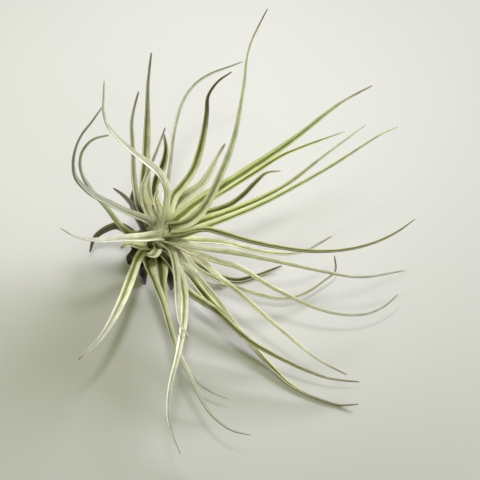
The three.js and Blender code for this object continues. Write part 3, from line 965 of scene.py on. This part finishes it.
# Pale bases over the crown, outer to inner, with sizes in millimetres.
BUD_COUNT = 14
BUD_DEPTHS = (7.0, 2.0)
BUD_LENGTHS = (8.5, 6.0)
BUD_FLARES = (1.6, 0.2)
BUD_HALF_WIDTH = 3.8 * MM
BUD_WHOLE = 0.96
BUD_AGE = 1.2

# Darkest bark: old dry stem, partly painted shade between the leaf bases and at the foot.
BARK_OLD_AND_SHADE = linear(58, 42, 28)
BARK_DRY = linear(130, 108, 76)
BARK_YOUNG = linear(206, 206, 166)
BARK_CRACK = linear(26, 20, 12)
BARK_DUST = linear(150, 134, 108)
FIBRES_PER_MM = (5.0, 0.5)
AGE_WANDER = 0.5
FIBRE_DEPTH = 0.35 * MM
FIBRE_BUMP = 0.8
CRUMB_DEPTH = 0.15 * MM
CRUMB_BUMP = 0.5
BARK_ROUGHNESS = 0.92


def round_stem(height, turn, out):
    """A point at a height along the stem, a turn round it and a distance from its axis."""
    around = STEM_SIDE * math.cos(turn) + STEM_OTHER_SIDE * math.sin(turn)
    point = FOOT + AXIS * height + around * out
    point[2] = max(point[2], FLOOR_GAP)
    return point


def stem_radius(height):
    """The core's radius, which closes in a dome over the crown."""
    share = np.clip(height / STEM_LENGTH, 0, 1)
    radius = lerp(FOOT_RADIUS, CROWN_RADIUS * CORE_SHARE, share)
    above = max(0.0, height - DOME_START) / (DOME_TOP - DOME_START)
    return float(radius * math.sqrt(max(DOME_LEAST, 1 - above**2)))


def stem_core():
    """Points, faces and grain places of the stem under its dry leaf bases."""
    points = []
    faces = []
    grain = []
    for step in np.linspace(0, 1, CORE_STEPS):
        height = lerp(CORE_START, DOME_TOP, math.sin(step * math.pi / 2))
        for side in range(CORE_SIDES):
            turn = 2 * math.pi * side / CORE_SIDES
            rough = 1
            for waves, by_height, depth in CORE_RIPPLES:
                rough += depth * math.sin(waves * turn + height * by_height)
            points.append(round_stem(height, turn, stem_radius(height) * rough))
            grain.append((turn * FOOT_RADIUS / MM, height / MM))
    for i in range(CORE_STEPS - 1):
        a, b = i * CORE_SIDES, (i + 1) * CORE_SIDES
        for j in range(CORE_SIDES):
            k = (j + 1) % CORE_SIDES
            faces.append((a + j, a + k, b + k, b + j))
    faces.append(tuple(reversed(range(CORE_SIDES))))
    faces.append(tuple((CORE_STEPS - 1) * CORE_SIDES + j for j in range(CORE_SIDES)))
    return points, faces, grain


def sheet_faces():
    """The faces of a sheet with two skins and a rim."""
    faces = []
    skin = BASE_ROWS * BASE_COLUMNS
    for row in range(BASE_ROWS - 1):
        for column in range(BASE_COLUMNS - 1):
            a = row * BASE_COLUMNS + column
            b = a + BASE_COLUMNS
            faces.append((a, a + 1, b + 1, b))
            faces.append((skin + a, skin + b, skin + b + 1, skin + a + 1))
    rim = list(range(BASE_COLUMNS))
    rim += [row * BASE_COLUMNS + BASE_COLUMNS - 1 for row in range(1, BASE_ROWS)]
    rim += [(BASE_ROWS - 1) * BASE_COLUMNS + column for column in reversed(range(BASE_COLUMNS - 1))]
    rim += [row * BASE_COLUMNS for row in reversed(range(1, BASE_ROWS - 1))]
    for here, there in zip(rim, rim[1:] + rim[:1]):
        faces.append((there, here, skin + here, skin + there))
    return faces


def leaf_base(height, turn, length, half_width, flare, whole):
    """Points and grain places of one old leaf base that clasps the stem and leans out by its flare."""
    torn = draw.uniform(whole, 1.0, BASE_COLUMNS)
    ridges = draw.uniform(-0.5, 0.5, BASE_COLUMNS) * RIDGE_HEIGHT
    points = []
    grain = []
    for skin in (1, 0):
        for row in range(BASE_ROWS):
            s = row / (BASE_ROWS - 1)
            taper = math.sqrt(max(0.0, 1 - (TAPER_SHARE * s) ** TAPER_POWER))
            for column in range(BASE_COLUMNS):
                t = 2 * column / (BASE_COLUMNS - 1) - 1
                up = height + s * length * torn[column] * (1 - END_ROUNDING * t * t)
                radius = stem_radius(up)
                out = radius + SHEET_LIFT + ridges[column] * s + flare * s**2 + skin * SHEET_THICKNESS
                spread = t * half_width * taper / max(radius, LEAST_RADIUS)
                points.append(round_stem(up, turn + spread, out))
                grain.append((t * half_width / MM, up / MM))
    return points, grain


def scale_bases():
    """The short old bases in a spiral all the way up the stem, each with its age."""
    for k in range(SCALE_COUNT):
        share = k / (SCALE_COUNT - 1)
        height = lerp(-SCALE_BELOW, STEM_LENGTH - SCALE_TOP, share**SCALE_CROWDING)
        age = np.clip(share + draw.uniform(*SCALE_AGES), 0, 1)
        length = draw.uniform(*SCALE_LENGTHS) * MM
        half_width = draw.uniform(*SCALE_HALF_WIDTHS) * MM
        flare = draw.uniform(*SCALE_FLARES) * MM
        yield leaf_base(height, k * GOLDEN_ANGLE, length, half_width, flare, SCALE_WHOLE), age


def husk_bases():
    """The longer torn bases that stand off the upper side of the leaning stem."""
    for k in range(HUSK_COUNT):
        share = k / (HUSK_COUNT - 1)
        height = lerp(*HUSK_HEIGHTS, share) * STEM_LENGTH
        turn = HUSK_SPREAD * math.sin(k * GOLDEN_ANGLE) - HUSK_LEAN
        length = draw.uniform(*HUSK_LENGTHS) * MM
        half_width = draw.uniform(*HUSK_HALF_WIDTHS) * MM
        flare = draw.uniform(*HUSK_FLARES) * MM
        age = lerp(*HUSK_AGES, share) + draw.uniform(*HUSK_AGE_SPREAD)
        yield leaf_base(height, turn, length, half_width, flare, HUSK_WHOLE), age


def bud_bases():
    """The pale inner bases that close over the crown."""
    for k in range(BUD_COUNT):
        share = k / (BUD_COUNT - 1)
        height = STEM_LENGTH - lerp(*BUD_DEPTHS, share) * MM
        length = lerp(*BUD_LENGTHS, share) * MM
        flare = lerp(*BUD_FLARES, share) * MM
        yield leaf_base(height, k * GOLDEN_ANGLE, length, BUD_HALF_WIDTH, flare, BUD_WHOLE), BUD_AGE


def stem_mesh():
    """The stem in its coat of old leaf bases."""
    points, faces, grain = stem_core()
    ages = [CORE_AGE] * len(points)
    seeds = [0.0] * len(points)
    base_faces = sheet_faces()
    for bases in (scale_bases(), husk_bases(), bud_bases()):
        for (base_points, base_grain), age in bases:
            first = len(points)
            seed = draw.uniform(0, MAX_SEED)
            points += base_points
            faces += [tuple(first + corner for corner in face) for face in base_faces]
            grain += base_grain
            ages += [age] * len(base_points)
            seeds += [seed] * len(base_points)
    mesh = smooth_mesh("stem_dressed", [tuple(point) for point in points], faces)
    give(mesh, "age", ages)
    give(mesh, "seed", seeds)
    give(mesh, "grain_across", [place[0] for place in grain])
    give(mesh, "grain_along", [place[1] for place in grain])
    return mesh


def bark_material():
    """Dry fibrous bark that is paler, and less cracked, where the leaf bases are younger. Its darkest brown,
    on the core and the oldest bases low down, is partly painted shade between the bases.
    """
    made = Nodes("dry_bark")
    across = made.read("grain_across")
    along = made.read("grain_along")
    seed = made.read("seed")
    patches_at = made.vector(across, along, seed)
    fibres = made.noise(made.marks_at(across, along, seed, FIBRES_PER_MM), 1.0, 4.0, 0.65)
    patches = made.noise(patches_at, 0.5, 3.0, 0.6)
    crumbs = made.noise(patches_at, 3.0, 3.0, 0.7)
    age = made.swing(patches, AGE_WANDER, made.read("age"))
    colour = made.mix(made.ramp(age, 0.0, 0.6), BARK_OLD_AND_SHADE, BARK_DRY)
    colour = made.mix(made.ramp(age, 0.55, 0.95), colour, BARK_YOUNG)
    cracked = made.times(made.ramp(fibres, 0.35, 0.6, 0.75, 0.0), made.ramp(age, 0.6, 1.0, 1.0, 0.25))
    colour = made.mix(cracked, colour, BARK_CRACK)
    colour = made.mix(made.ramp(crumbs, 0.55, 0.75, 0.0, 0.45), colour, BARK_DUST)
    normal = made.bump(fibres, FIBRE_BUMP, FIBRE_DEPTH)
    return made.finish(
        Base_Color=colour,
        Roughness=BARK_ROUGHNESS,
        Normal=made.bump(crumbs, CRUMB_BUMP, CRUMB_DEPTH, normal),
    )


# The plant


def show(name, mesh, node, slot, material):
    """Puts a finer piece in the place of a solid one."""
    piece = bpy.data.objects.new(name, mesh)
    bpy.context.scene.collection.objects.link(piece)
    mesh.materials.append(material)
    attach(piece, "root")
    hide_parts(node)


leaf_materials = {tone: leaf_material(f"{tone}_leaf", **colours) for tone, colours in TONES.items()}
slots = {part["node"]: part["material_slot"] for part in frame["record"]["subparts"]}
for node, slot in slots.items():
    if node == "stem":
        show("stem_dressed", stem_mesh(), node, slot, bark_material())
    else:
        tone = LEAF_LOOKS.get(node, PLAIN_LOOK).tone or slot
        show(f"{node}_blade", leaf_mesh(f"{node}_blade", node), node, slot, leaf_materials[tone])


# Floor, light and camera

FLOOR_DARK = linear(185, 185, 185)
FLOOR_PALE = linear(190, 190, 190)
FLOOR_REACH = 3.0
FLOOR_GRAIN = 9.0
FLOOR_ROUGHNESS = 0.9

# A long low window at the back right that climbs to the left.
KEY_TURN = math.radians(36)
KEY_RISE = math.radians(20)
KEY_ROLL = math.radians(19)
KEY_DISTANCE = 1.4
KEY_WIDTH = 1.4
KEY_HEIGHT = 0.36
KEY_POWER = 44.6
KEY_COLOUR = (0.985, 0.955, 1.06)

# A soft pool of light from above.
POOL_PLACE = (0.0, 0.05, 0.7)
POOL_REACH = 0.1
POOL_SIZE = 0.14
POOL_POWER = 35.6
POOL_COLOUR = (1.01, 0.99, 1.0)

# The room's own light.
AMBIENT_COLOUR = (1.15, 1.25, 0.6)
AMBIENT_STRENGTH = 0.338


def floor():
    """The plain pale surface that the plant stands on."""
    mesh = bpy.data.meshes.new("floor")
    corners = [(x * FLOOR_REACH, y * FLOOR_REACH, 0) for x, y in ((-1, -1), (1, -1), (1, 1), (-1, 1))]
    mesh.from_pydata(corners, [], [(0, 1, 2, 3)])
    piece = bpy.data.objects.new("floor", mesh)
    bpy.context.scene.collection.objects.link(piece)
    made = Nodes("pale_floor")
    at = made.add("ShaderNodeTexCoord").outputs["Object"]
    grain = made.noise(at, FLOOR_GRAIN, 3.0, 0.5)
    colour = made.mix(grain, FLOOR_DARK, FLOOR_PALE)
    mesh.materials.append(made.finish(Base_Color=colour, Roughness=FLOOR_ROUGHNESS))
    piece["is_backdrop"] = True


def point_at(item, place, target):
    """Stands a lamp or camera at a place and turns it to a target."""
    item.location = Vector(place)
    item.rotation_mode = "QUATERNION"
    item.rotation_quaternion = (Vector(target) - Vector(place)).to_track_quat("-Z", "Y")


def lamp(name, kind, place, target, power, colour, roll=0.0):
    """A lamp that shines at a target, rolled about the line to it."""
    made = bpy.data.lights.new(name, kind)
    made.energy = power
    made.color = colour
    item = bpy.data.objects.new(name, made)
    bpy.context.scene.collection.objects.link(item)
    point_at(item, place, target)
    item.rotation_quaternion = item.rotation_quaternion @ Quaternion((0, 0, 1), roll)
    return made


def light():
    """The window, the pool of light and the room's own light."""
    level = math.cos(KEY_RISE)
    towards = np.array([level * math.cos(KEY_TURN), level * math.sin(KEY_TURN), math.sin(KEY_RISE)])
    key = lamp("key", "AREA", CROWN + towards * KEY_DISTANCE, CROWN, KEY_POWER, KEY_COLOUR, KEY_ROLL)
    key.shape = "RECTANGLE"
    key.size = KEY_WIDTH
    key.size_y = KEY_HEIGHT
    below = (POOL_PLACE[0], POOL_PLACE[1], 0.0)
    pool = lamp("pool", "SPOT", POOL_PLACE, below, POOL_POWER, POOL_COLOUR)
    pool.spot_size = 2 * math.atan(POOL_REACH / POOL_PLACE[2])
    pool.spot_blend = 1.0
    pool.shadow_soft_size = POOL_SIZE
    world = bpy.data.worlds.new("studio")
    world.use_nodes = True
    background = world.node_tree.nodes["Background"]
    background.inputs["Color"].default_value = AMBIENT_COLOUR + (1.0,)
    background.inputs["Strength"].default_value = AMBIENT_STRENGTH
    bpy.context.scene.world = world


def camera():
    """A long lens at the photograph's angle."""
    lens = bpy.data.cameras.new("camera")
    lens.sensor_width = SENSOR_WIDTH
    lens.lens = SENSOR_WIDTH * EYE_DISTANCE / VIEW_WIDTH
    lens.clip_start = CLIP_START
    lens.clip_end = CLIP_END
    item = bpy.data.objects.new("camera", lens)
    bpy.context.scene.collection.objects.link(item)
    point_at(item, EYE_TARGET + EYE_NEARER * EYE_DISTANCE, EYE_TARGET)
    bpy.context.scene.camera = item
    bpy.context.scene.view_settings.view_transform = "Standard"


floor()
light()
camera()

new_low, new_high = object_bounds()
repr([list(corner) for corner in (cad_low, cad_high, new_low, new_high)])
